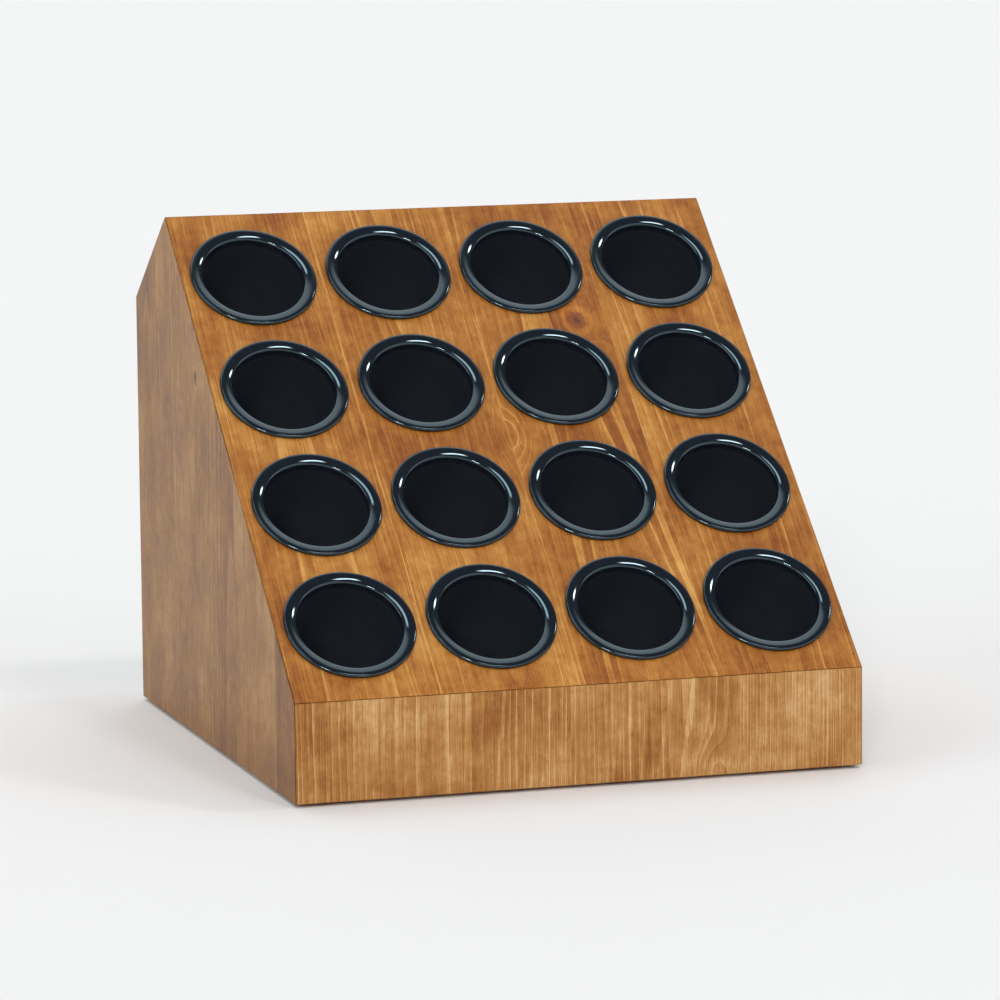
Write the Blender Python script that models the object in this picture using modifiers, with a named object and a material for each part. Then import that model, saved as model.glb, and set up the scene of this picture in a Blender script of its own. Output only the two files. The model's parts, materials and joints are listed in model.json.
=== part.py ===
"""Countertop cutlery dispenser: a mitred pine cabinet whose sloping deck carries sixteen lift-out cups.

Metres, +Z up. The front faces -Y, and the origin is on the counter under the middle of the cabinet.
"""

from math import cos, pi, radians, sin, tan

import bmesh
import bpy
from mathutils import Matrix, Vector

# Cabinet
WIDTH = 0.508
DEPTH = 0.533
FRONT_HEIGHT = 0.086
DECK_LENGTH = 0.560
DECK_SLOPE = radians(41.6)
CAP_SLOPE = radians(36)
BOARD = 0.0127
RAIL_HEIGHT = 0.060
RAIL_SETBACK = 0.002
JOINT_GAP = 0.0003
EASED_EDGE = 0.0006

# Cups: radii, and heights and depths from the deck's surface
ROWS = 4
COLUMNS = 4
COLUMN_PITCH = 0.1255
ROW_PITCH = 0.1338
CUP_DEPTH = 0.130
CUP_FLOOR = 0.003
INNER_BOTTOM_RADIUS = 0.0432
INNER_CHAMFER = 0.005
BODY_TOP_RADIUS = 0.0488
BODY_BOTTOM_RADIUS = 0.0460
BODY_CHAMFER = 0.004
HOLE_RADIUS = 0.0496
CUP_SIDES = 32

# A cup's rim: a shallow dome that rolls over into the mouth on one side and into a tight edge on the other
CREST_RADIUS = 0.0543
CREST_HEIGHT = 0.0034
DOME_RADIUS = 0.020
INNER_TILT = radians(18.4)
OUTER_TILT = radians(4)
LIP_RADIUS = 0.003
EDGE_RADIUS = 0.0017
RIM_STEPS = 2

# Glue blocks and strips inside the cabinet
DECK_BLOCK = 0.018
DECK_BLOCK_LENGTH = 0.044
STRIP = 0.012
POST = 0.020
POST_HEIGHT = 0.055

# Feet and screws
FOOT_RADIUS = 0.008
FOOT_HEIGHT = 0.003
FOOT_CHAMFER = 0.0008
FOOT_HOLE_RADIUS = 0.0022
FOOT_RECESS_RADIUS = 0.0044
FOOT_RECESS_DEPTH = 0.0020
FOOT_SIDES = 24
FOOT_SCREW_LENGTH = 0.015
RAIL_SCREW_LENGTH = 0.028
RAIL_SCREW_HEIGHTS = (0.022, 0.044)
SCREW_HEAD_RADIUS = 0.0038
SCREW_HEAD_HEIGHT = 0.0014
SCREW_HEAD_CHAMFER = 0.0006
SCREW_SHANK_RADIUS = 0.0016
SCREW_TIP = 0.003
SCREW_SIDES = 12

# Where the cabinet's outer faces meet, as points at x = 0
FRONT_Y = -DEPTH / 2
BACK_Y = DEPTH / 2
BASE_Z = FOOT_HEIGHT
FRONT_TOP = Vector((0, FRONT_Y, BASE_Z + FRONT_HEIGHT))
RIDGE = FRONT_TOP + DECK_LENGTH * Vector((0, cos(DECK_SLOPE), sin(DECK_SLOPE)))
CAP_LENGTH = (BACK_Y - RIDGE.y) / cos(CAP_SLOPE)
RAIL_Y = BACK_Y - RAIL_SETBACK

# The space between the boards, where the blocks and strips are glued in
INNER_X = WIDTH / 2 - BOARD - JOINT_GAP
INNER_FRONT_Y = FRONT_Y + BOARD + JOINT_GAP
INNER_BACK_Y = RAIL_Y - BOARD - JOINT_GAP
UNDER_DECK = -BOARD - JOINT_GAP
FIRST_ROW = (DECK_LENGTH - (ROWS - 1) * ROW_PITCH) / 2

# Outward normals of the outer faces
LEFT = Vector((-1, 0, 0))
RIGHT = Vector((1, 0, 0))
UP = Vector((0, 0, 1))
FRONT = Vector((0, -1, 0))
BACK = Vector((0, 1, 0))
DECK = Vector((0, -sin(DECK_SLOPE), cos(DECK_SLOPE)))
CAP = Vector((0, sin(CAP_SLOPE), cos(CAP_SLOPE)))
SIDES = {"left": LEFT, "right": RIGHT}

# Frames: +Y runs up the deck from its front edge, and down the cap from the ridge
DECK_FRAME = Matrix.Translation(FRONT_TOP) @ Matrix.Rotation(DECK_SLOPE, 4, "X")
CAP_FRAME = Matrix.Translation(RIDGE) @ Matrix.Rotation(-CAP_SLOPE, 4, "X")

# Colours, as linear RGB
PINE_DECK = (0.47, 0.20, 0.055)
PINE_FRONT = (0.46, 0.25, 0.095)
PINE_SIDE = (0.33, 0.20, 0.12)
PINE_RAW = (0.60, 0.40, 0.22)
BLACK_MELAMINE = (0.008, 0.009, 0.011)
BLACK_RUBBER = (0.02, 0.02, 0.02)
ZINC = (0.60, 0.60, 0.58)


def clear_scene():
    for obj in list(bpy.data.objects):
        bpy.data.objects.remove(obj)


def new_collection(name):
    collection = bpy.data.collections.new(name)
    bpy.context.scene.collection.children.link(collection)
    return collection


def new_material(name, colour, roughness, metallic=0.0):
    material = bpy.data.materials.new(name)
    material.use_nodes = True
    shader = material.node_tree.nodes["Principled BSDF"]
    shader.inputs["Base Color"].default_value = (*colour, 1)
    shader.inputs["Roughness"].default_value = roughness
    shader.inputs["Metallic"].default_value = metallic
    return material


def add_object(name, mesh, collection, placed, parent=None):
    """placed is the object's matrix in world space, or under its parent if it has one."""
    obj = bpy.data.objects.new(name, mesh)
    collection.objects.link(obj)
    obj.parent = parent
    obj.matrix_local = placed
    return obj


def add_cutter(name, radius, length, sides, collection, placed, parent=None):
    """A hidden cylinder along its own Z, centred on its origin."""
    mesh = bpy.data.meshes.new(name)
    rod = bmesh.new()
    bmesh.ops.create_cone(rod, cap_ends=True, segments=sides, radius1=radius, radius2=radius, depth=length)
    rod.to_mesh(mesh)
    rod.free()
    cutter = add_object(name, mesh, collection, placed, parent)
    cutter.hide_render = True
    cutter.display_type = "WIRE"
    return cutter


# Boards: each is a box in a frame of its own, sawn off by planes that are given in world space


def saw(board, cut):
    """Removes what lies beyond the plane and closes the sawn face."""
    point, outward = cut
    everything = board.verts[:] + board.edges[:] + board.faces[:]
    bmesh.ops.bisect_plane(board, geom=everything, plane_co=point, plane_no=outward, clear_outer=True)
    bmesh.ops.holes_fill(board, edges=[edge for edge in board.edges if edge.is_boundary])


def mitre(own, other, point):
    """The cut for a board with outward normal own where it meets one with outward normal other at point."""
    outward = (other - own).normalized()
    return point - outward * JOINT_GAP / 2, outward


def add_board(name, low, high, wood, collection, frame=None, cuts=(), parent=None):
    """A box from corner low to corner high in frame, sawn by cuts. A parent already stands in frame."""
    frame = frame or Matrix.Identity(4)
    low, high = Vector(low), Vector(high)
    board = bmesh.new()
    box = Matrix.Translation((low + high) / 2) @ Matrix.Diagonal((*(high - low), 1))
    bmesh.ops.create_cube(board, size=1, matrix=frame @ box)
    for cut in cuts:
        saw(board, cut)
    board.transform(frame.inverted())
    bmesh.ops.recalc_face_normals(board, faces=board.faces)
    mesh = bpy.data.meshes.new(name)
    board.to_mesh(mesh)
    board.free()
    mesh.materials.append(wood)
    obj = add_object(name, mesh, collection, Matrix.Identity(4) if parent else frame, parent)
    bevel = obj.modifiers.new("eased_edges", "BEVEL")
    bevel.width = EASED_EDGE
    bevel.segments = 1
    bevel.limit_method = "ANGLE"
    bevel.angle_limit = radians(30)
    return obj


def drill(obj, cutters, centre, turned, length):
    """A round hole for a screw, centred on a point, along the Z axis of the rotation turned."""
    number = sum(modifier.type == "BOOLEAN" for modifier in obj.modifiers) + 1
    name = f"drill_{obj.name}_{number}"
    placed = Matrix.Translation(centre) @ turned
    hole = obj.modifiers.new(name, "BOOLEAN")
    hole.operation = "DIFFERENCE"
    radius = SCREW_SHANK_RADIUS + JOINT_GAP
    hole.object = add_cutter(name, radius, length, SCREW_SIDES, cutters, placed)


# The cabinet's outer boards


def end_mitres(own, point):
    """Both end cuts of a board that runs from side panel to side panel."""
    return [mitre(own, side, point + side * WIDTH / 2) for side in SIDES.values()]


def side_panels(wood, collection):
    """Five-sided end panels, mitred to the front board, the deck and the cap."""
    for side, outward in SIDES.items():
        edge = outward * WIDTH / 2
        cuts = [
            mitre(outward, FRONT, FRONT_TOP + edge),
            mitre(outward, DECK, RIDGE + edge),
            mitre(outward, CAP, RIDGE + edge),
        ]
        faces_x = sorted((edge.x, edge.x - outward.x * BOARD))
        low = (faces_x[0], FRONT_Y, BASE_Z)
        high = (faces_x[1], BACK_Y, RIDGE.z)
        add_board(f"side_panel_{side}", low, high, wood, collection, cuts=cuts)


def front_board(wood, collection):
    cuts = end_mitres(FRONT, FRONT_TOP) + [mitre(FRONT, DECK, FRONT_TOP)]
    low = (-WIDTH / 2, FRONT_Y, BASE_Z)
    high = (WIDTH / 2, FRONT_Y + BOARD, FRONT_TOP.z)
    add_board("front_board", low, high, wood, collection, cuts=cuts)


def cup_deck(wood, collection, deck_frame, cup_holes):
    """The sloping board, mitred all round and bored for the cups."""
    cuts = end_mitres(DECK, FRONT_TOP) + [mitre(DECK, FRONT, FRONT_TOP), mitre(DECK, CAP, RIDGE)]
    low = (-WIDTH / 2, 0, -BOARD)
    high = (WIDTH / 2, DECK_LENGTH, 0)
    deck = add_board("cup_deck", low, high, wood, collection, DECK_FRAME, cuts, deck_frame)
    bores = deck.modifiers.new("cup_holes", "BOOLEAN")
    bores.operation = "DIFFERENCE"
    bores.operand_type = "COLLECTION"
    bores.collection = cup_holes


def top_cap(wood, collection):
    """The board from the ridge down to the open back, cut flush with the back."""
    cuts = end_mitres(CAP, RIDGE) + [mitre(CAP, DECK, RIDGE), (Vector((0, BACK_Y, 0)), BACK)]
    low = (-WIDTH / 2, 0, -BOARD)
    high = (WIDTH / 2, CAP_LENGTH + BOARD * tan(CAP_SLOPE), 0)
    add_board("top_cap", low, high, wood, collection, CAP_FRAME, cuts)


# Strips, blocks and posts glued into the corners inside


def ridge_strip(wood, collection, deck_frame):
    """A strip under the ridge, cut to the cap's underside."""
    half = INNER_X - JOINT_GAP
    under_ridge = DECK_LENGTH - BOARD * tan((DECK_SLOPE + CAP_SLOPE) / 2)
    low = (-half, under_ridge - STRIP, UNDER_DECK - STRIP)
    high = (half, under_ridge, UNDER_DECK)
    under_cap = (RIDGE - CAP * (BOARD + JOINT_GAP), CAP)
    add_board("ridge_strip", low, high, wood, collection, DECK_FRAME, [under_cap], deck_frame)


def front_strip(wood, collection):
    """A strip along the top of the front board, cut to the deck's underside."""
    half = INNER_X - POST - 2 * JOINT_GAP
    low = (-half, INNER_FRONT_Y, FRONT_TOP.z - BOARD - STRIP)
    high = (half, INNER_FRONT_Y + STRIP, RIDGE.z)
    under_deck = (FRONT_TOP + DECK * UNDER_DECK, DECK)
    add_board("front_strip", low, high, wood, collection, cuts=[under_deck])


def deck_blocks(wood, collection, deck_frame):
    """Glue blocks between the deck and the side panels, midway between the rows of cups."""
    for side, outward in SIDES.items():
        faces_x = sorted((outward.x * INNER_X, outward.x * (INNER_X - DECK_BLOCK)))
        for number in range(1, ROWS):
            middle = FIRST_ROW + (number - 0.5) * ROW_PITCH
            low = (faces_x[0], middle - DECK_BLOCK_LENGTH / 2, UNDER_DECK - DECK_BLOCK)
            high = (faces_x[1], middle + DECK_BLOCK_LENGTH / 2, UNDER_DECK)
            name = f"deck_block_{side}_{number}"
            add_board(name, low, high, wood, collection, DECK_FRAME, parent=deck_frame)


def corner_posts(wood, collection):
    """Square posts in the bottom corners. Returns each post, with the middle of its underside."""
    posts = {}
    for side, outward in SIDES.items():
        for place, low_y in (("front", INNER_FRONT_Y), ("back", INNER_BACK_Y - POST)):
            under = Vector((outward.x * (INNER_X - POST / 2), low_y + POST / 2, BASE_Z))
            low = under - Vector((POST / 2, POST / 2, 0))
            high = under + Vector((POST / 2, POST / 2, POST_HEIGHT))
            post = add_board(f"corner_post_{place}_{side}", low, high, wood, collection)
            posts[place, side] = post, under
    return posts


# Turned pieces: half a section in the XZ plane, spun about Z


def turned_mesh(name, profile, material, closed=False):
    """profile is a list of (radius, height) that runs down the outer side."""
    count = len(profile)
    edges = [(i, i + 1) for i in range(count - 1)]
    if closed:
        edges.append((count - 1, 0))
    mesh = bpy.data.meshes.new(name)
    mesh.from_pydata([(radius, 0, height) for radius, height in profile], edges, [])
    mesh.materials.append(material)
    return mesh


def spin(obj, sides):
    turn = obj.modifiers.new("spin", "SCREW")
    turn.steps = sides
    turn.render_steps = sides
    turn.use_merge_vertices = True
    turn.merge_threshold = 0.00001
    turn.use_smooth_shade = True


def arc(centre, radius, start, end):
    """Points along a circle from angle start to angle end, both included."""
    angles = [start + (end - start) * step / RIM_STEPS for step in range(RIM_STEPS + 1)]
    return [(centre[0] + radius * cos(a), centre[1] + radius * sin(a)) for a in angles]


def rim_profile():
    """Half section of a rim, from the top of the cup's wall over the crest to the rim's outer face."""
    inner_tilt = pi / 2 + INNER_TILT
    outer_tilt = pi / 2 - OUTER_TILT

    def rolled(radius, tilt):
        """The centre of an arc that carries on from the dome where the dome's normal stands at tilt."""
        reach = DOME_RADIUS - radius
        return CREST_RADIUS + reach * cos(tilt), CREST_HEIGHT - DOME_RADIUS + reach * sin(tilt)

    return [
        *arc(rolled(LIP_RADIUS, inner_tilt), LIP_RADIUS, pi, inner_tilt),
        (CREST_RADIUS, CREST_HEIGHT),
        *arc(rolled(EDGE_RADIUS, outer_tilt), EDGE_RADIUS, outer_tilt, 0),
    ]


def cup_profile():
    """Half section of a cup, from the middle of its floor up, over the rim, and down the outside."""
    floor = -CUP_DEPTH + CUP_FLOOR
    rim = rim_profile()
    return [
        (0, floor),
        (INNER_BOTTOM_RADIUS - INNER_CHAMFER, floor),
        (INNER_BOTTOM_RADIUS, floor + INNER_CHAMFER),
        *rim,
        (rim[-1][0], JOINT_GAP),
        (BODY_TOP_RADIUS, JOINT_GAP),
        (BODY_BOTTOM_RADIUS, -CUP_DEPTH + BODY_CHAMFER),
        (BODY_BOTTOM_RADIUS - BODY_CHAMFER, -CUP_DEPTH),
        (0, -CUP_DEPTH),
    ]


def cups(plastic, collection, cup_holes, deck_frame):
    """The cups and the cutters for the holes that they hang in. Row 1 is in front, column 1 on the left."""
    mesh = turned_mesh("cup", cup_profile(), plastic)
    for row in range(ROWS):
        for column in range(COLUMNS):
            x = (column - (COLUMNS - 1) / 2) * COLUMN_PITCH
            seat = Matrix.Translation((x, FIRST_ROW + row * ROW_PITCH, 0))
            place = f"r{row + 1}_c{column + 1}"
            spin(add_object(f"cup_{place}", mesh, collection, seat, deck_frame), CUP_SIDES)
            add_cutter(f"hole_{place}", HOLE_RADIUS, 4 * BOARD, CUP_SIDES, cup_holes, seat, deck_frame)


def foot_profile():
    """A rubber ring, thick round the screw and recessed below for its head."""
    top = FOOT_HEIGHT - JOINT_GAP
    return [
        (FOOT_HOLE_RADIUS, FOOT_RECESS_DEPTH),
        (FOOT_HOLE_RADIUS, top),
        (FOOT_RADIUS, top),
        (FOOT_RADIUS, FOOT_CHAMFER),
        (FOOT_RADIUS - FOOT_CHAMFER, 0),
        (FOOT_RECESS_RADIUS, 0),
        (FOOT_RECESS_RADIUS, FOOT_RECESS_DEPTH),
    ]


def screw_profile(length):
    """A pan-head wood screw that stands on its head, with its tip at the top."""
    return [
        (0, length),
        (SCREW_SHANK_RADIUS, length - SCREW_TIP),
        (SCREW_SHANK_RADIUS, SCREW_HEAD_HEIGHT),
        (SCREW_HEAD_RADIUS, SCREW_HEAD_HEIGHT),
        (SCREW_HEAD_RADIUS, SCREW_HEAD_CHAMFER),
        (SCREW_HEAD_RADIUS - SCREW_HEAD_CHAMFER, 0),
        (0, 0),
    ]


def feet(rubber, metal, collection, cutters, posts):
    """A rubber foot under each corner post, and the screw that holds it."""
    foot_mesh = turned_mesh("foot", foot_profile(), rubber, closed=True)
    screw_mesh = turned_mesh("foot_screw", screw_profile(FOOT_SCREW_LENGTH), metal)
    head_z = FOOT_RECESS_DEPTH - SCREW_HEAD_HEIGHT - JOINT_GAP
    upright = Matrix.Identity(4)
    for (place, side), (post, under) in posts.items():
        on_counter = Vector((under.x, under.y, 0))
        foot = add_object(f"foot_{place}_{side}", foot_mesh, collection, Matrix.Translation(on_counter))
        spin(foot, FOOT_SIDES)
        head = Matrix.Translation(on_counter + UP * head_z)
        spin(add_object(f"foot_screw_{place}_{side}", screw_mesh, collection, head), SCREW_SIDES)
        drill(post, cutters, under, upright, 2 * FOOT_SCREW_LENGTH)


def back_rail(wood, metal, collection, cutters, posts):
    """The rail across the open back, held to the back posts by two screws at each end."""
    half = INNER_X - JOINT_GAP
    low = (-half, RAIL_Y - BOARD, BASE_Z)
    high = (half, RAIL_Y, BASE_Z + RAIL_HEIGHT)
    rail = add_board("back_rail", low, high, wood, collection)
    screw_mesh = turned_mesh("rail_screw", screw_profile(RAIL_SCREW_LENGTH), metal)
    forwards = Matrix.Rotation(pi / 2, 4, "X")
    for side in SIDES:
        post, under = posts["back", side]
        for number, height in enumerate(RAIL_SCREW_HEIGHTS, start=1):
            entry = Vector((under.x, RAIL_Y, BASE_Z + height))
            for board in (rail, post):
                drill(board, cutters, entry, forwards, 2 * (RAIL_SCREW_LENGTH + JOINT_GAP))
            head = Matrix.Translation(entry + BACK * (SCREW_HEAD_HEIGHT + JOINT_GAP)) @ forwards
            name = f"rail_screw_{side}_{number}"
            spin(add_object(name, screw_mesh, collection, head), SCREW_SIDES)


def build():
    clear_scene()
    dispenser = new_collection("cutlery_dispenser")
    cup_holes = new_collection("cup_holes")
    drills = new_collection("drills")
    deck_pine = new_material("pine_deck", PINE_DECK, 0.45)
    front_pine = new_material("pine_front", PINE_FRONT, 0.5)
    side_pine = new_material("pine_side", PINE_SIDE, 0.5)
    raw_pine = new_material("pine_raw", PINE_RAW, 0.7)
    melamine = new_material("black_melamine", BLACK_MELAMINE, 0.08)
    rubber = new_material("black_rubber", BLACK_RUBBER, 0.7)
    zinc = new_material("zinc_screw", ZINC, 0.35, 1.0)

    deck_frame = bpy.data.objects.new("deck_frame", None)
    dispenser.objects.link(deck_frame)
    deck_frame.matrix_world = DECK_FRAME

    side_panels(side_pine, dispenser)
    front_board(front_pine, dispenser)
    top_cap(side_pine, dispenser)
    cups(melamine, dispenser, cup_holes, deck_frame)
    cup_deck(deck_pine, dispenser, deck_frame, cup_holes)
    ridge_strip(raw_pine, dispenser, deck_frame)
    front_strip(raw_pine, dispenser)
    deck_blocks(raw_pine, dispenser, deck_frame)
    posts = corner_posts(raw_pine, dispenser)
    back_rail(side_pine, zinc, dispenser, drills, posts)
    feet(rubber, zinc, dispenser, drills, posts)


build()
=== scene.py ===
"""Looks of the countertop cutlery dispenser: mitred pine boards and gloss black cups, made around the frame.

Metres, +Z up. The front faces -Y.
"""
import json
from math import cos, pi, radians, sin

import bmesh
import bpy
from mathutils import Matrix, Quaternion, Vector


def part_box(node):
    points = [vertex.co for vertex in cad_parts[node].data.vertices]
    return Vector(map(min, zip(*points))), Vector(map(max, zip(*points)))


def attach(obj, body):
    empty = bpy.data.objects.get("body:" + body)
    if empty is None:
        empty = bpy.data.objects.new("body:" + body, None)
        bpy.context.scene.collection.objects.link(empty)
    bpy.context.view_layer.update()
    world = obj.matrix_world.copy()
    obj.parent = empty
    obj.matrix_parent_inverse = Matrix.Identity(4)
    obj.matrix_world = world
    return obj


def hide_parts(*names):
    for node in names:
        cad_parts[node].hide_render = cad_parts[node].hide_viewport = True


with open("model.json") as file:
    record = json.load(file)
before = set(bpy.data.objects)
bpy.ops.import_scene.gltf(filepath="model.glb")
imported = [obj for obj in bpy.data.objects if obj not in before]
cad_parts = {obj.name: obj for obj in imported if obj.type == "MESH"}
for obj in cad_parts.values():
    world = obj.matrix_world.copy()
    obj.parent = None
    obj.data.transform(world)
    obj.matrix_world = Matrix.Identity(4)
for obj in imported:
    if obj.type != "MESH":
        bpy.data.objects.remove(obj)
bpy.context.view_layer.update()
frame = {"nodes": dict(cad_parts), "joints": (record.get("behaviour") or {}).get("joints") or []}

# Camera
AIM = Vector((0.0119, 0.0, 0.2104))
CAMERA_TURN = radians(17.61)
CAMERA_DROP = radians(8.33)
CAMERA_ROLL = radians(-0.47)
CAMERA_DISTANCE = 4.644
LENS = 187.1
SENSOR = 36.0

# Cup section: radii, heights from the deck's surface, angles and thicknesses
CREST_RADIUS = 0.0543
CREST_HEIGHT = 0.0034
DOME_RADIUS = 0.020
INNER_TILT = radians(18.4)
OUTER_TILT = radians(4)
LIP_RADIUS = 0.003
EDGE_RADIUS = 0.0017
INNER_BOTTOM_RADIUS = 0.0432
BODY_TOP_RADIUS = 0.0488
BODY_BOTTOM_RADIUS = 0.0460
MID_WALL_RADIUS = 0.0474
HOLE_RADIUS = 0.0496
SEAT_GAP = 0.0003
CUP_DEPTH = 0.130
CUP_FLOOR = 0.003
MID_FLOOR_HEIGHT = -0.1285
CUP_SEGMENTS = 144

# Small turned pieces
FOOT_HOLE_RADIUS = 0.0022
FOOT_RECESS_RADIUS = 0.0044
FOOT_RECESS_DEPTH = 0.0020
SHANK_RADIUS = 0.0016
ROOT_RADIUS = 0.0011
THREAD_PITCH = 0.0012
HEAD_HEIGHT = 0.0014
HEAD_EDGE = 0.0007
DRIVER_RADIUS = 0.0017
DRIVER_DEPTH = 0.0010
THREAD_MARGIN = 0.004
SMALL_SEGMENTS = 48

CAP_SLOPE = radians(36)

GLOSS_BLACK = (0.0065, 0.0085, 0.0125)
# Painted fill light: the cup's inside is painted lighter than its outside, and lighter still towards the
# bottom, where shade falls
INSIDE_PAINTED_FILL_BLACK = (0.0145, 0.0165, 0.0215)
DEEP_PAINTED_FILL_BLACK = (0.043, 0.049, 0.063)
FLOOR_PALE = (0.88, 0.835, 0.815)
FLOOR_PALER = (0.89, 0.845, 0.825)
ROOM_HORIZON = (0.95, 0.95, 0.95)
ROOM_ABOVE = (0.10, 0.115, 0.13)

UP = Vector((0, 0, 1))
X_AXIS = Vector((1, 0, 0))
Y_AXIS = Vector((0, 1, 0))
DECK = Vector(frame["joints"][0]["axis"]).normalized()
UP_DECK = DECK.cross(X_AXIS).normalized()
CAP = Vector((0, sin(CAP_SLOPE), cos(CAP_SLOPE)))


def span(node, direction):
    """How far a CAD node reaches along a direction, lowest and highest."""
    reach = [vertex.co.dot(direction) for vertex in frame["nodes"][node].data.vertices]
    return min(reach), max(reach)


# Materials


class Graph:
    """A node tree. Each method adds a node and returns its output, to be fed to the next."""

    def __init__(self, owner):
        owner.use_nodes = True
        self.owner = owner
        self.tree = owner.node_tree

    def feed(self, socket, value):
        if isinstance(value, bpy.types.NodeSocket):
            self.tree.links.new(value, socket)
        elif isinstance(value, (tuple, list, Vector)) and socket.type == "RGBA":
            socket.default_value = (*value, 1)
        else:
            socket.default_value = value

    def add(self, kind, inputs=(), **settings):
        node = self.tree.nodes.new(kind)
        for key, value in settings.items():
            setattr(node, key, value)
        for key, value in dict(inputs).items():
            self.feed(node.inputs[key], value)
        return node

    def math(self, operation, a, b=0.0, c=0.0, clamp=False):
        node = self.add("ShaderNodeMath", {0: a, 1: b, 2: c}, operation=operation, use_clamp=clamp)
        return node.outputs[0]

    def vector(self, operation, a, b=(0, 0, 0)):
        inputs = {0: a, "Scale": b} if operation == "SCALE" else {0: a, 1: b}
        node = self.add("ShaderNodeVectorMath", inputs, operation=operation)
        return node.outputs["Value" if operation in {"LENGTH", "DOT_PRODUCT"} else "Vector"]

    def combine(self, x, y, z):
        return self.add("ShaderNodeCombineXYZ", {0: x, 1: y, 2: z}).outputs[0]

    def separate(self, vector):
        return self.add("ShaderNodeSeparateXYZ", {0: vector}).outputs

    def stretch(self, vector, scale):
        return self.vector("MULTIPLY", vector, scale)

    def noise(self, vector, scale=1.0, detail=2.0, roughness=0.5, distortion=0.0):
        """Noise of mean 0, between about -0.5 and 0.5."""
        node = self.add(
            "ShaderNodeTexNoise",
            {
                "Vector": vector,
                "Scale": scale,
                "Detail": detail,
                "Roughness": roughness,
                "Distortion": distortion,
            },
        )
        return self.math("SUBTRACT", node.outputs[0], 0.5)

    def random(self, vector):
        """One number from 0 to 1 for each whole-number vector."""
        node = self.add("ShaderNodeTexWhiteNoise", {"Vector": vector}, noise_dimensions="3D")
        return node.outputs["Value"]

    def smooth(self, value, low, high, to_low=0.0, to_high=1.0):
        node = self.add(
            "ShaderNodeMapRange",
            {"Value": value, "From Min": low, "From Max": high, "To Min": to_low, "To Max": to_high},
            interpolation_type="SMOOTHSTEP",
        )
        return node.outputs[0]

    def ramp(self, value, stops):
        node = self.add("ShaderNodeValToRGB", {0: value})
        ramp = node.color_ramp
        while len(ramp.elements) < len(stops):
            ramp.elements.new(0.5)
        for element, (position, colour) in zip(ramp.elements, stops):
            element.position = position
            element.color = (*colour, 1)
        return node.outputs[0]

    def mix(self, factor, a, b, blend="MIX"):
        node = self.add("ShaderNodeMix", data_type="RGBA", blend_type=blend)
        for socket, value in ((node.inputs[0], factor), (node.inputs[6], a), (node.inputs[7], b)):
            self.feed(socket, value)
        return node.outputs[2]

    def bump(self, height, distance):
        node = self.add("ShaderNodeBump", {"Height": height, "Distance": distance, "Strength": 1.0})
        return node.outputs[0]

    def total(self, values):
        values = list(values)
        while len(values) > 1:
            values.append(self.math("ADD", values.pop(0), values.pop(0)))
        return values[0]


def new_material(name):
    g = Graph(bpy.data.materials.new(name))
    g.shader = g.tree.nodes["Principled BSDF"]
    return g


# What each feature of pine adds to its tone, from 0, the darkest stain, to 1, the palest
LATEWOOD = 0.8
EARLYWOOD = 0.15
FIBRE = 0.50
HAIR = 0.26
PORES = -0.20
SPECKLE = 0.20
BLOTCH = 0.60
MOTTLE = 0.34
DRIFT = 0.45
MIDDLE_TONE = 0.42


class Stave:
    """One of the boards that a panel is glued up from. The log's pith runs behind the face."""

    def __init__(self, start, pith, depth, lean, ring, tone=0.0, seam=0.06):
        self.start = start
        self.pith = pith
        self.depth = depth
        self.lean = lean
        self.ring = ring
        self.tone = tone
        self.seam = seam


class Knot:
    """The rings swell by swell round a knot, within reach across the grain. core is its heart's radius."""

    def __init__(self, across, along, reach, swell, core=0.0, colour=(0.20, 0.045, 0.010)):
        self.across = across
        self.along = along
        self.reach = reach
        self.swell = swell
        self.core = core
        self.colour = colour
        self.heart = tuple(0.3 * c for c in colour)


class Streak:
    """A pale line from across foot to across head, over a run up the face. One side of it is soft."""

    def __init__(self, foot, head, run, width, tone):
        self.foot = foot
        self.lean = (head - foot) / run
        self.width = width
        self.tone = tone


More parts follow.
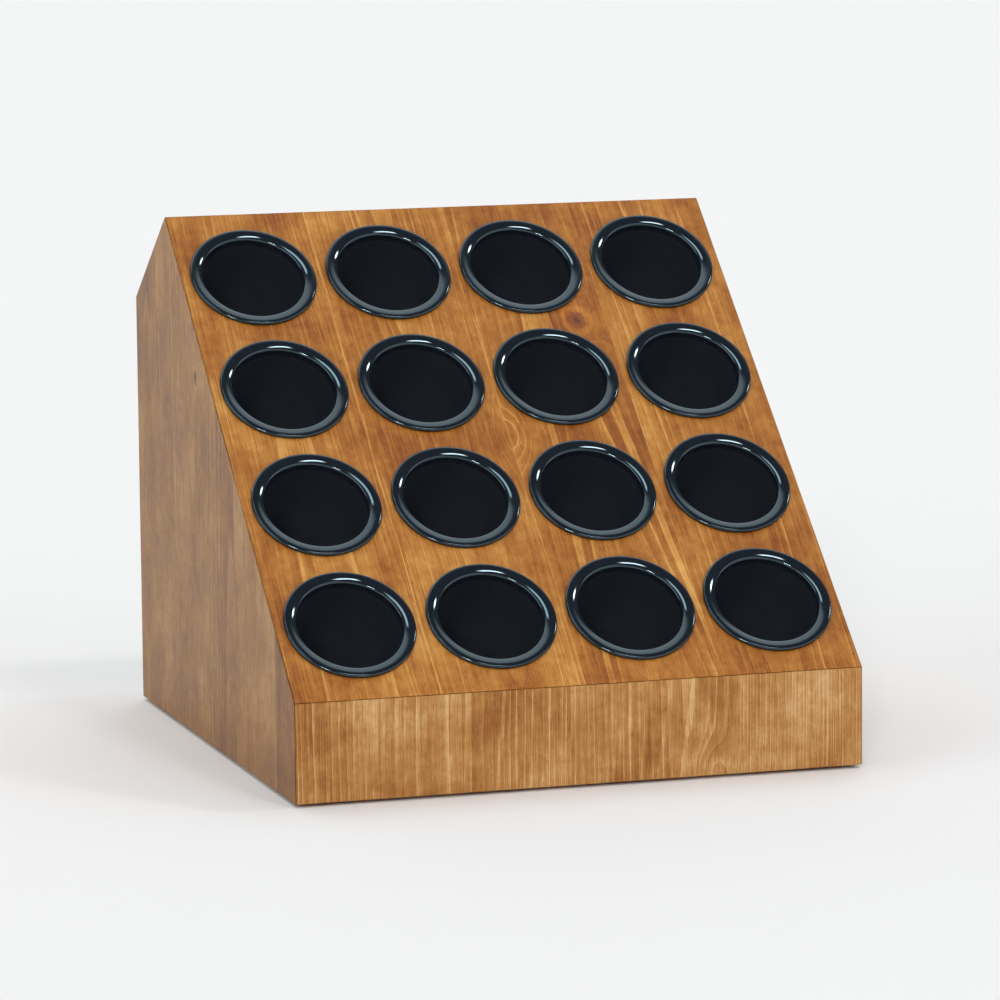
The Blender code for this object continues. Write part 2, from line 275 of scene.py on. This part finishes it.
def pine(name, across, along, outward, corner, staves, tones, seed, knots=(), contrast=1.0, streaks=()):
    """Stained and varnished pine, solid all through. across, along and outward are the face's directions."""
    g = new_material(name)
    turn = Matrix((across, along, outward))
    place = g.add(
        "ShaderNodeMapping",
        {
            "Vector": g.add("ShaderNodeTexCoord").outputs["Object"],
            "Rotation": turn.to_euler(),
            "Location": -(turn @ corner),
        },
    ).outputs[0]
    u, v, w = g.separate(place)

    def stair(values):
        """A value for each stave, as a staircase across the face."""
        steps = [values[0]]
        for i in range(1, len(staves)):
            if values[i] != values[i - 1]:
                past = g.math("GREATER_THAN", u, staves[i].start)
                steps.append(g.math("MULTIPLY", past, values[i] - values[i - 1]))
        return g.total(steps)

    number = stair([float(i) for i in range(len(staves))])
    apart = g.vector("ADD", place, g.combine(g.math("MULTIPLY", number, 0.37), seed, 0.0))

    bend = g.noise(g.stretch(apart, (9, 2.2, 9)), detail=1)
    wobble = g.noise(g.stretch(apart, (60, 11, 60)), detail=2)
    sway = g.math("MULTIPLY_ADD", bend, 0.018, g.math("MULTIPLY", wobble, 0.0022))
    from_pith = g.math("ADD", g.math("SUBTRACT", u, stair([s.pith for s in staves])), sway)
    below = g.math("ADD", w, stair([s.depth for s in staves]))
    below = g.math("MULTIPLY_ADD", v, stair([s.lean for s in staves]), below)
    radius = g.vector("LENGTH", g.combine(from_pith, below, 0.0))
    for knot in knots:
        away = g.combine(
            g.math("DIVIDE", g.math("SUBTRACT", u, knot.across), knot.reach),
            g.math("DIVIDE", g.math("SUBTRACT", v, knot.along), knot.reach * 1.8),
            0.0,
        )
        near = g.math("EXPONENT", g.math("MULTIPLY", g.vector("DOT_PRODUCT", away, away), -1.0))
        radius = g.math("MULTIPLY_ADD", near, knot.swell, radius)

    rings = g.math("DIVIDE", radius, stair([s.ring for s in staves]))
    rings = g.math("ADD", rings, g.math("MULTIPLY", g.noise(g.combine(rings, seed, number), 0.45, 1), 3.4))
    year = g.math("FLOOR", rings)
    season = g.math("FRACT", rings)
    strength = g.random(g.combine(year, number, seed))
    strength = g.math("POWER", strength, 1.7)
    late = g.math("MULTIPLY", g.math("POWER", season, 7.0), g.smooth(season, 1.0, 0.93))
    late = g.math("MULTIPLY", late, strength)
    early = g.math("SUBTRACT", season, 0.5)

    broken = g.smooth(g.noise(g.stretch(apart, (9, 14, 9)), detail=2), -0.2, 0.15)
    late = g.math("MULTIPLY", late, g.math("MULTIPLY_ADD", broken, 0.7, 0.3))
    fibre = g.noise(g.stretch(apart, (900, 16, 900)), detail=2, roughness=0.6)
    hair = g.noise(g.stretch(apart, (2600, 90, 2600)), detail=1)
    pores = g.smooth(g.noise(g.stretch(apart, (1100, 110, 1100)), detail=1), 0.14, 0.26)
    speckle = g.noise(apart, 1400, 1)
    blotch = g.noise(g.stretch(apart, (24, 15, 24)), detail=3, roughness=0.55)
    mottle = g.noise(apart, 80, 3, 0.65, 0.4)
    drift = g.noise(g.stretch(apart, (8, 4, 8)), detail=1)
    seams = [0.0]
    for stave in staves[1:]:
        line = g.smooth(g.math("ABSOLUTE", g.math("SUBTRACT", u, stave.start)), 0.0011, 0.0002)
        seams.append(g.math("MULTIPLY", line, g.math("MULTIPLY", broken, stave.seam)))
    for streak in streaks:
        past = g.math("SUBTRACT", u, g.math("MULTIPLY_ADD", v, streak.lean, streak.foot))
        past = g.math("MULTIPLY_ADD", sway, 0.35, past)
        line = g.math("MULTIPLY", g.smooth(past, 0.0, 0.0004), g.smooth(past, streak.width, 0.0004))
        pale = g.math("MULTIPLY_ADD", broken, 0.6 * streak.tone, 0.4 * streak.tone)
        seams.append(g.math("MULTIPLY", line, pale))
    tone = g.total(
        [
            g.math("MULTIPLY", late, LATEWOOD * contrast),
            g.math("MULTIPLY", early, EARLYWOOD * contrast),
            g.math("MULTIPLY", fibre, FIBRE),
            g.math("MULTIPLY", hair, HAIR),
            g.math("MULTIPLY", pores, PORES),
            g.math("MULTIPLY", speckle, SPECKLE),
            g.math("MULTIPLY", blotch, BLOTCH),
            g.math("MULTIPLY", mottle, MOTTLE),
            g.math("MULTIPLY", drift, DRIFT),
            *seams,
            stair([MIDDLE_TONE + s.tone for s in staves]),
        ]
    )
    colour = g.ramp(tone, tones)
    for knot in knots:
        if not knot.core:
            continue
        ragged = g.math("MULTIPLY", g.noise(g.stretch(place, (260, 200, 260)), detail=2), 0.006)
        above = g.math("MULTIPLY", g.math("SUBTRACT", v, knot.along), 0.8)
        away = g.combine(g.math("SUBTRACT", u, knot.across), above, 0.0)
        distance = g.math("ADD", g.vector("LENGTH", away), ragged)
        from_halo = g.math("ABSOLUTE", g.math("SUBTRACT", distance, 1.35 * knot.core))
        halo = g.smooth(from_halo, 0.35 * knot.core, 0.0)
        colour = g.mix(g.math("MULTIPLY", halo, 0.3), colour, g.vector("SCALE", colour, 1.8))
        colour = g.mix(g.smooth(distance, knot.core, 0.75 * knot.core, 0.0, 0.8), colour, knot.colour)
        colour = g.mix(g.smooth(distance, 0.55 * knot.core, 0.1 * knot.core, 0.0, 0.7), colour, knot.heart)

    g.feed(g.shader.inputs["Base Color"], colour)
    g.shader.inputs["Specular IOR Level"].default_value = 0.3
    varnish = g.math("MULTIPLY_ADD", blotch, 0.1, 0.44)
    g.feed(g.shader.inputs["Roughness"], g.math("MULTIPLY_ADD", fibre, 0.16, varnish))
    height = g.math("MULTIPLY_ADD", late, 0.5, g.math("ADD", fibre, g.math("MULTIPLY", hair, 0.4)))
    g.feed(g.shader.inputs["Normal"], g.bump(height, 0.00012))
    return g.owner


def melamine():
    """Gloss black on the rim and outside, duller down inside. Inside, the black is painted lighter, and
    lighter still deeper down, as painted fill light against the cup's shade. The mesh's z is 0 at the deck's
    surface.
    """
    g = new_material("black_melamine")
    place = g.add("ShaderNodeTexCoord").outputs["Object"]
    x, y, z = g.separate(place)
    taper = (BODY_TOP_RADIUS - BODY_BOTTOM_RADIUS) / CUP_DEPTH
    mid_wall = g.math("MULTIPLY_ADD", z, taper, MID_WALL_RADIUS)
    into_bore = g.math("SUBTRACT", mid_wall, g.vector("LENGTH", g.combine(x, y, 0.0)))
    inside = g.math("MULTIPLY", g.smooth(z, -0.001, -0.008), g.smooth(into_bore, -0.0004, 0.0004))
    inside = g.math("MULTIPLY", inside, g.math("GREATER_THAN", z, MID_FLOOR_HEIGHT))
    haze = g.noise(place, 60, 3)
    scuff = g.noise(g.stretch(place, (900, 900, 60)), detail=2)
    # painted fill light: a lighter black inside the cup, lighter towards the bottom
    colour = g.mix(inside, GLOSS_BLACK, g.mix(g.smooth(z, -0.005, -0.095), INSIDE_PAINTED_FILL_BLACK, DEEP_PAINTED_FILL_BLACK))
    hazed = g.mix(g.smooth(haze, -0.3, 0.4), colour, g.vector("SCALE", colour, 1.2))
    g.feed(g.shader.inputs["Base Color"], hazed)
    roughness = g.math("MULTIPLY_ADD", scuff, 0.02, g.math("MULTIPLY_ADD", haze, 0.02, 0.045))
    g.feed(g.shader.inputs["Roughness"], g.math("MULTIPLY_ADD", inside, 0.3, roughness))
    g.feed(g.shader.inputs["Normal"], g.bump(g.noise(place, 35, 1), 0.00005))
    g.shader.inputs["IOR"].default_value = 1.65
    # Painted reflection colour: the bluish specular tint colours the cups' reflections cool, in place of
    # cooler light
    g.shader.inputs["Specular Tint"].default_value = (0.66, 0.90, 1.0, 1.0)
    return g.owner


def rubber():
    g = new_material("black_rubber")
    place = g.add("ShaderNodeTexCoord").outputs["Object"]
    grain = g.noise(place, 1500, 3)
    blacks = [(0.2, (0.012,) * 3), (0.8, (0.035,) * 3)]
    g.feed(g.shader.inputs["Base Color"], g.ramp(g.math("ADD", grain, 0.5), blacks))
    g.feed(g.shader.inputs["Roughness"], g.math("MULTIPLY_ADD", grain, 0.2, 0.7))
    g.feed(g.shader.inputs["Normal"], g.bump(grain, 0.0001))
    return g.owner


def zinc():
    g = new_material("zinc_screw")
    place = g.add("ShaderNodeTexCoord").outputs["Object"]
    spangle = g.noise(place, 900, 3)
    bands = [(0.2, (0.42, 0.42, 0.40)), (0.8, (0.68, 0.68, 0.66))]
    g.feed(g.shader.inputs["Base Color"], g.ramp(g.math("ADD", spangle, 0.5), bands))
    g.feed(g.shader.inputs["Roughness"], g.math("MULTIPLY_ADD", spangle, 0.2, 0.32))
    g.feed(g.shader.inputs["Normal"], g.bump(spangle, 0.00004))
    g.shader.inputs["Metallic"].default_value = 1.0
    return g.owner


# Boards


def hull(node):
    """A CAD board's outer form, as a mesh of whole faces. Every board is convex but for its holes."""
    form = bmesh.new()
    for vertex in frame["nodes"][node].data.vertices:
        form.verts.new(vertex.co)
    bmesh.ops.remove_doubles(form, verts=form.verts, dist=0.00002)
    made = bmesh.ops.convex_hull(form, input=form.verts)
    spare = {item for key in ("geom_interior", "geom_unused") for item in made[key]}
    bmesh.ops.delete(form, geom=[v for v in spare if isinstance(v, bmesh.types.BMVert)], context="VERTS")
    bmesh.ops.dissolve_limit(form, angle_limit=radians(0.5), verts=form.verts, edges=form.edges)
    bmesh.ops.recalc_face_normals(form, faces=form.faces)
    return form


def new_piece(name, form, material):
    mesh = bpy.data.meshes.new(name)
    form.to_mesh(mesh)
    form.free()
    mesh.materials.append(material)
    mesh.shade_smooth()
    piece = bpy.data.objects.new(name, mesh)
    bpy.context.scene.collection.objects.link(piece)
    return piece


def soften(piece):
    """Shades each narrow eased edge as if it were round."""
    even = piece.modifiers.new("even_faces", "WEIGHTED_NORMAL")
    even.weight = 100
    even.mode = "FACE_AREA"


def stand_for(piece, node, body):
    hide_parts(node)
    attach(piece, body)


def add_board(node, material):
    piece = new_piece(f"{node}_wood", hull(node), material)
    soften(piece)
    stand_for(piece, node, "cabinet")
    return piece


# Turned pieces


def arc(centre, radius, start, end, steps):
    """Points along a circle in the (radius, height) plane, both ends included."""
    angles = [start + (end - start) * step / steps for step in range(steps + 1)]
    return [(centre[0] + radius * cos(a), centre[1] + radius * sin(a)) for a in angles]


def turned(profile, segments, closed=False):
    """A form spun from a profile that starts and ends on the axis, or is closed."""
    form = bmesh.new()
    verts = [form.verts.new((radius, 0, height)) for radius, height in profile]
    edges = [form.edges.new(pair) for pair in zip(verts, verts[1:])]
    if closed:
        edges.append(form.edges.new((verts[-1], verts[0])))
    bmesh.ops.spin(
        form,
        geom=verts + edges,
        cent=(0, 0, 0),
        axis=(0, 0, 1),
        angle=2 * pi,
        steps=segments,
        use_merge=True,
    )
    bmesh.ops.remove_doubles(form, verts=form.verts, dist=0.000002)
    bmesh.ops.recalc_face_normals(form, faces=form.faces)
    return form


def rim_profile():
    """From the top of the cup's wall over the domed rim to its outer face."""
    inner_tilt = pi / 2 + INNER_TILT
    outer_tilt = pi / 2 - OUTER_TILT
    dome = (CREST_RADIUS, CREST_HEIGHT - DOME_RADIUS)

    def rolled(radius, tilt):
        """The centre of an arc that carries on from the dome where the dome's normal stands at tilt."""
        reach = DOME_RADIUS - radius
        return dome[0] + reach * cos(tilt), dome[1] + reach * sin(tilt)

    return [
        *arc(rolled(LIP_RADIUS, inner_tilt), LIP_RADIUS, pi, inner_tilt, 10),
        *arc(dome, DOME_RADIUS, inner_tilt, outer_tilt, 14)[1:-1],
        *arc(rolled(EDGE_RADIUS, outer_tilt), EDGE_RADIUS, outer_tilt, 0, 8),
    ]


def cup_profile(depth):
    """From the middle of the cup's floor up, over the rim and down the outside."""
    floor = CUP_FLOOR - depth
    fillet = 0.006
    foot = 0.004
    rim = rim_profile()
    return [
        (0, floor),
        *arc((INNER_BOTTOM_RADIUS - fillet, floor + fillet), fillet, -pi / 2, 0, 8),
        *rim,
        (rim[-1][0], SEAT_GAP + 0.0002),
        (rim[-1][0] - 0.0002, SEAT_GAP),
        (BODY_TOP_RADIUS, SEAT_GAP),
        *arc((BODY_BOTTOM_RADIUS - foot, foot - depth), foot, 0, -pi / 2, 6),
        (0.036, -depth),
        (0.035, 0.0008 - depth),
        (0, 0.0008 - depth),
    ]


def seat(node):
    """The middle of the hole that a cup hangs in, on the deck's surface."""
    across = sum(span(node, X_AXIS)) / 2
    up = sum(span(node, UP_DECK)) / 2
    crest = span(node, DECK)[1]
    return X_AXIS * across + UP_DECK * up + DECK * (crest - CREST_HEIGHT)


def upright(middle):
    """A turned piece's place, with its axis square to the deck."""
    placed = Matrix((X_AXIS, UP_DECK, DECK)).transposed().to_4x4()
    placed.translation = middle
    return placed


def add_cups(material):
    first = frame["joints"][0]["child"]
    depth = span(first, DECK)[1] - span(first, DECK)[0] - CREST_HEIGHT
    form = turned(cup_profile(depth), CUP_SEGMENTS)
    mesh = bpy.data.meshes.new("cup")
    form.to_mesh(mesh)
    form.free()
    mesh.materials.append(material)
    mesh.shade_smooth()
    mesh.set_sharp_from_angle(angle=radians(50))
    for joint in frame["joints"]:
        node = joint["child"]
        piece = bpy.data.objects.new(f"{node}_gloss", mesh)
        bpy.context.scene.collection.objects.link(piece)
        piece.matrix_world = upright(seat(node))
        stand_for(piece, node, node)


def add_deck(material):
    """The deck, with its holes bored round and their upper edges eased."""
    deck = add_board("cup_deck", material)
    ease = 0.0008
    reach = 0.03
    profile = [
        (0, reach),
        (HOLE_RADIUS + ease + reach, reach),
        (HOLE_RADIUS, -ease),
        (HOLE_RADIUS, -reach),
        (0, -reach),
    ]
    form = bmesh.new()
    for joint in frame["joints"]:
        single = turned(profile, CUP_SEGMENTS)
        mesh = bpy.data.meshes.new("bore")
        single.transform(upright(seat(joint["child"])))
        single.to_mesh(mesh)
        single.free()
        form.from_mesh(mesh)
        bpy.data.meshes.remove(mesh)
    cutter = new_piece("deck_bores", form, material)
    bores = deck.modifiers.new("cup_holes", "BOOLEAN")
    bores.operation = "DIFFERENCE"
    bores.object = cutter
    deck.modifiers.move(1, 0)  # the holes are bored before the shading is evened
    made = bpy.data.meshes.new_from_object(deck.evaluated_get(bpy.context.evaluated_depsgraph_get()))
    deck.modifiers.clear()
    deck.data = made
    bpy.data.objects.remove(cutter)
    soften(deck)


def foot_profile(radius, height):
    """A rubber ring with round edges, recessed below for its screw's head."""
    edge = 0.0007
    return [
        (FOOT_HOLE_RADIUS, FOOT_RECESS_DEPTH),
        (FOOT_HOLE_RADIUS, height),
        (radius - 0.0002, height),
        (radius, height - 0.0002),
        *arc((radius - edge, edge), edge, 0, -pi / 2, 5),
        (radius - 0.0022, 0.0),
        (radius - 0.0026, 0.0002),
        (FOOT_RECESS_RADIUS + 0.0006, 0.0002),
        (FOOT_RECESS_RADIUS, 0.0008),
        (FOOT_RECESS_RADIUS, FOOT_RECESS_DEPTH),
    ]


def screw_profile(radius, length):
    """A pan-head wood screw, from its driver recess over the head and up the thread to its tip."""
    thread = []
    height = THREAD_MARGIN
    while height < length - THREAD_MARGIN:
        thread += [(ROOT_RADIUS, height), (SHANK_RADIUS, height + THREAD_PITCH / 2)]
        height += THREAD_PITCH
    return [
        (0, DRIVER_DEPTH),
        (0.0009, 0.0009),
        (DRIVER_RADIUS, 0),
        *arc((radius - HEAD_EDGE, HEAD_EDGE), HEAD_EDGE, -pi / 2, 0, 4),
        (radius, HEAD_HEIGHT - 0.0001),
        (radius - 0.0001, HEAD_HEIGHT),
        (SHANK_RADIUS, HEAD_HEIGHT),
        (SHANK_RADIUS, 0.0035),
        *thread,
        (ROOT_RADIUS, height),
        (0, length),
    ]


def add_small_turned(node, profile, material, axis=UP, closed=False):
    """A foot or a screw in place of its CAD node. axis runs from its outer end inwards."""
    low, high = span(node, axis)
    side = axis.orthogonal().normalized()
    middle = axis * low + side * sum(span(node, side)) / 2
    other = axis.cross(side)
    middle += other * sum(span(node, other)) / 2
    radius = (span(node, side)[1] - span(node, side)[0]) / 2
    placed = Matrix((side, other, axis)).transposed().to_4x4()
    placed.translation = middle
    form = turned(profile(radius, high - low), SMALL_SEGMENTS, closed)
    form.transform(placed)
    piece = new_piece(f"{node}_turned", form, material)
    piece.data.set_sharp_from_angle(angle=radians(35))
    stand_for(piece, node, "cabinet")


# Stage


def add_camera():
    forward = Vector(
        (sin(CAMERA_TURN) * cos(CAMERA_DROP), cos(CAMERA_TURN) * cos(CAMERA_DROP), -sin(CAMERA_DROP))
    )
    data = bpy.data.cameras.new("camera")
    data.lens = LENS
    data.sensor_width = SENSOR
    data.clip_end = 200
    camera = bpy.data.objects.new("camera", data)
    bpy.context.scene.collection.objects.link(camera)
    camera.location = AIM - forward * CAMERA_DISTANCE
    camera.rotation_mode = "QUATERNION"
    camera.rotation_quaternion = forward.to_track_quat("-Z", "Y") @ Quaternion((0, 0, 1), CAMERA_ROLL)
    bpy.context.scene.camera = camera


class Panel:
    """A distant soft box. towards points to it, along is its long way; sizes are half sizes as tangents."""

    def __init__(self, towards, along, length, width, soft, colour, strength):
        self.towards = Vector(towards).normalized()
        self.along = (Vector(along) - self.towards * self.towards.dot(Vector(along))).normalized()
        self.length = length
        self.width = width
        self.soft = soft
        self.colour = colour
        self.strength = strength

    def light(self, g, direction):
        """Its brightness in a direction."""
        ahead = g.vector("DOT_PRODUCT", direction, self.towards)
        share = g.math("GREATER_THAN", ahead, 0.0)
        ahead = g.math("MAXIMUM", ahead, 0.001)
        for axis, half in ((self.along, self.length), (self.towards.cross(self.along), self.width)):
            offset = g.math("DIVIDE", g.vector("DOT_PRODUCT", direction, axis), ahead)
            inside = g.smooth(g.math("ABSOLUTE", offset), half + self.soft / 2, half - self.soft / 2)
            share = g.math("MULTIPLY", share, inside)
        return g.vector("SCALE", g.combine(*self.colour), g.math("MULTIPLY", share, self.strength))


COOL = (0.92, 0.98, 1.0)

# The small bright boxes make the glints on the cups' rims, and the broad dim ones the soft light round them
PANELS = (
    Panel((0.60, -0.06, 0.80), (0, 1, 0), 0.030, 0.035, 0.06, (1, 1, 1), 60),
    Panel((0.21, -0.50, 0.84), (-0.16, 0.07, 0.08), 0.09, 0.045, 0.05, (1, 1, 1), 22),
    Panel((-0.40, -0.83, 0.38), (-0.20, 0.15, 0.09), 0.085, 0.045, 0.04, (1, 1, 1), 62),
    Panel((-0.12, -0.22, 0.97), (0.05, 0.35, 0.09), 0.20, 0.070, 0.05, (0.80, 0.94, 1.0), 7),
    Panel((0.62, -0.62, 0.40), (0.60, 0.60, 0.00), 0.50, 0.12, 0.12, COOL, 2),
    Panel((-0.84, -0.25, 0.40), (0, 1, 0), 0.50, 0.15, 0.15, COOL, 2.5),
    Panel((0.05, 0.60, 0.78), (1, 0, 0), 0.66, 0.66, 0.25, COOL, 1.45),
)


def studio():
    """A dim room with soft boxes all round, bright towards the horizon."""
    g = Graph(bpy.data.worlds.new("studio"))
    direction = g.add("ShaderNodeTexCoord").outputs["Generated"]
    height = g.separate(direction)[2]
    light = g.mix(g.smooth(height, 0.05, 0.45), ROOM_HORIZON, ROOM_ABOVE)
    for panel in PANELS:
        light = g.vector("ADD", light, panel.light(g, direction))
    g.feed(g.tree.nodes["Background"].inputs["Color"], light)
    return g.owner


def add_stage():
    size = 60
    form = bmesh.new()
    bmesh.ops.create_grid(form, x_segments=1, y_segments=1, size=size)
    g = new_material("pale_floor")
    grain = g.noise(g.add("ShaderNodeTexCoord").outputs["Object"], 3, 3)
    g.feed(g.shader.inputs["Base Color"], g.mix(g.smooth(grain, -0.4, 0.4), FLOOR_PALE, FLOOR_PALER))
    g.feed(g.shader.inputs["Roughness"], g.math("MULTIPLY_ADD", grain, 0.02, 0.9))
    g.shader.inputs["Specular IOR Level"].default_value = 0.1
    new_piece("floor", form, g.owner)
    bpy.context.scene.world = studio()
    bpy.context.scene.view_settings.view_transform = "Standard"


# The boards' woods, with lengths in metres from each face's lower left corner

SPREAD = (
    (0.00, (0.50, 0.35, 0.20)),
    (0.22, (0.66, 0.50, 0.35)),
    (0.35, (0.88, 0.83, 0.75)),
    (0.42, (1.00, 1.00, 1.00)),
    (0.49, (1.12, 1.23, 1.45)),
    (0.55, (1.24, 1.45, 2.00)),
    (0.64, (1.44, 1.88, 3.20)),
    (1.00, (1.80, 2.80, 5.50)),
)


def shades(middle, contrast):
    """A stained wood's tones, darkest first, spread round the middle one."""
    return [
        (place, tuple(m * max(0.0, 1 + c * (r - 1)) for m, r, c in zip(middle, ratio, contrast)))
        for place, ratio in SPREAD
    ]


# One pine stain, copied per face and matched to each face as lit: the differences between these tones are
# painted light and shade. The side tones are painted darker, as painted shade, and also serve the right
# side, cap and rail.
DECK_TONES = shades((0.372, 0.1265, 0.0115), (1.15, 1.15, 1.6))
FRONT_TONES = shades((0.402, 0.178, 0.0425), (1.05, 1.05, 1.1))
SIDE_TONES_PAINTED_SHADE = shades((0.262, 0.110, 0.0215), (1.25, 1.1, 1.1))
RAW_TONES = shades((0.62, 0.42, 0.22), (0.5, 0.5, 0.5))


def build():
    front_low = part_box("front_board")[0]
    left_low, left_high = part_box("side_panel_left")
    right_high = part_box("side_panel_right")[1]
    deck_corner = X_AXIS * span("cup_deck", X_AXIS)[0]
    deck_corner += UP_DECK * span("cup_deck", UP_DECK)[0] + DECK * span("cup_deck", DECK)[1]

    deck_pine = pine(
        "pine_deck", X_AXIS, UP_DECK, DECK, deck_corner,
        [
            Stave(0.0, 0.060, 0.055, 0.02, 0.0040),
            Stave(0.128, 0.200, 0.045, -0.03, 0.0060, 0.02, 0.35),
            Stave(0.256, 0.330, 0.060, 0.04, 0.0065, -0.01),
            Stave(0.380, 0.440, 0.050, -0.02, 0.0060, 0.01),
        ],
        DECK_TONES, 1.3,
        [Knot(0.353, 0.413, 0.022, 0.016, 0.0095), Knot(0.262, 0.282, 0.020, 0.022)],
        0.7,
        [
            Streak(0.176, 0.171, 0.56, 0.004, 0.10),
            Streak(0.254, 0.258, 0.56, 0.003, 0.16),
            Streak(0.318, 0.326, 0.56, 0.005, 0.09),
            Streak(0.063, 0.068, 0.56, 0.003, 0.10),
            Streak(0.437, 0.430, 0.56, 0.004, 0.08),
        ],
    )
    front_pine = pine(
        "pine_front", X_AXIS, UP, -Y_AXIS, Vector((front_low.x, front_low.y, front_low.z)),
        [
            Stave(0.0, 0.120, 0.050, 0.004, 0.0048),
            Stave(0.242, 0.350, 0.055, -0.006, 0.0048, 0.02),
            Stave(0.395, 0.600, 0.050, 0.02, 0.0026, 0.0),
        ],
        FRONT_TONES, 4.1, [Knot(0.372, 0.0, 0.014, 0.014)], 0.8,
        [
            Streak(0.134, 0.136, 0.086, 0.006, 0.13),
            Streak(0.147, 0.149, 0.086, 0.005, 0.15),
            Streak(0.175, 0.182, 0.086, 0.006, 0.16),
            Streak(0.191, 0.193, 0.086, 0.005, 0.10),
            Streak(0.205, 0.207, 0.086, 0.006, 0.12),
            Streak(0.292, 0.294, 0.086, 0.005, 0.13),
            Streak(0.304, 0.310, 0.086, 0.006, 0.14),
            Streak(0.318, 0.332, 0.086, 0.007, 0.15),
            Streak(0.340, 0.352, 0.086, 0.009, 0.20),
        ],
    )
    # The side panels, cap and rail take the side tones, painted darker as shade
    side_pine = pine(
        "pine_side", -Y_AXIS, UP, -X_AXIS, Vector((left_low.x, left_high.y, left_low.z)),
        [
            Stave(0.0, 0.040, 0.045, 0.03, 0.0045),
            Stave(0.130, 0.200, 0.060, -0.02, 0.0055, 0.03),
            Stave(0.283, 0.330, 0.060, 0.02, 0.0050, -0.07),
            Stave(0.343, 0.420, 0.060, -0.02, 0.0060, 0.03),
            Stave(0.473, 0.500, 0.050, 0.02, 0.0050, -0.07),
        ],
        SIDE_TONES_PAINTED_SHADE, 7.7, [Knot(0.217, 0.324, 0.012, 0.006, 0.006, (0.12, 0.06, 0.02))],
        0.5,
    )
    right_pine = pine(
        "pine_right", Y_AXIS, UP, X_AXIS, Vector((right_high.x, left_low.y, left_low.z)),
        [
            Stave(0.0, 0.070, 0.050, -0.02, 0.0040),
            Stave(0.145, 0.200, 0.060, 0.03, 0.0045, -0.02),
            Stave(0.300, 0.380, 0.055, -0.03, 0.0040, 0.02),
        ],
        SIDE_TONES_PAINTED_SHADE, 12.9, (), 0.5,
    )
    cap_corner = X_AXIS * span("top_cap", X_AXIS)[1] + CAP * span("top_cap", CAP)[1]
    cap_pine = pine(
        "pine_cap", -X_AXIS, CAP.cross(-X_AXIS), CAP, cap_corner,
        [
            Stave(0.0, 0.050, 0.055, 0.02, 0.0042),
            Stave(0.140, 0.210, 0.050, -0.02, 0.0046, 0.02),
            Stave(0.290, 0.370, 0.060, 0.03, 0.0040, -0.01),
        ],
        SIDE_TONES_PAINTED_SHADE, 16.1,
    )
    rail_pine = pine(
        "pine_rail", UP, X_AXIS, Y_AXIS, Vector((0, 0, 0)),
        [Stave(0.0, 0.020, 0.045, 0.01, 0.0038)], SIDE_TONES_PAINTED_SHADE, 18.3,
    )
    raw_pine = pine(
        "pine_raw", Y_AXIS, X_AXIS, -UP, Vector((0, 0, 0)),
        [Stave(0.0, 0.0, 0.080, 0.01, 0.0040)], RAW_TONES, 21.5,
    )

    add_deck(deck_pine)
    add_board("front_board", front_pine)
    add_board("side_panel_left", side_pine)
    add_board("side_panel_right", right_pine)
    add_board("top_cap", cap_pine)
    metal = zinc()
    soft = rubber()
    for node, obj in frame["nodes"].items():
        if node.startswith(("deck_block", "ridge_strip", "front_strip")):
            add_board(node, raw_pine)
        elif node.startswith("foot_screw"):
            add_small_turned(node, screw_profile, metal)
        elif node.startswith("rail_screw"):
            add_small_turned(node, screw_profile, metal, -Y_AXIS)
        elif node.startswith("foot_"):
            add_small_turned(node, foot_profile, soft, closed=True)
        elif node.startswith(("corner_post", "back_rail")):
            obj.data.materials.clear()
            obj.data.materials.append(rail_pine if node == "back_rail" else raw_pine)
    add_cups(melamine())


add_camera()
add_stage()
build()
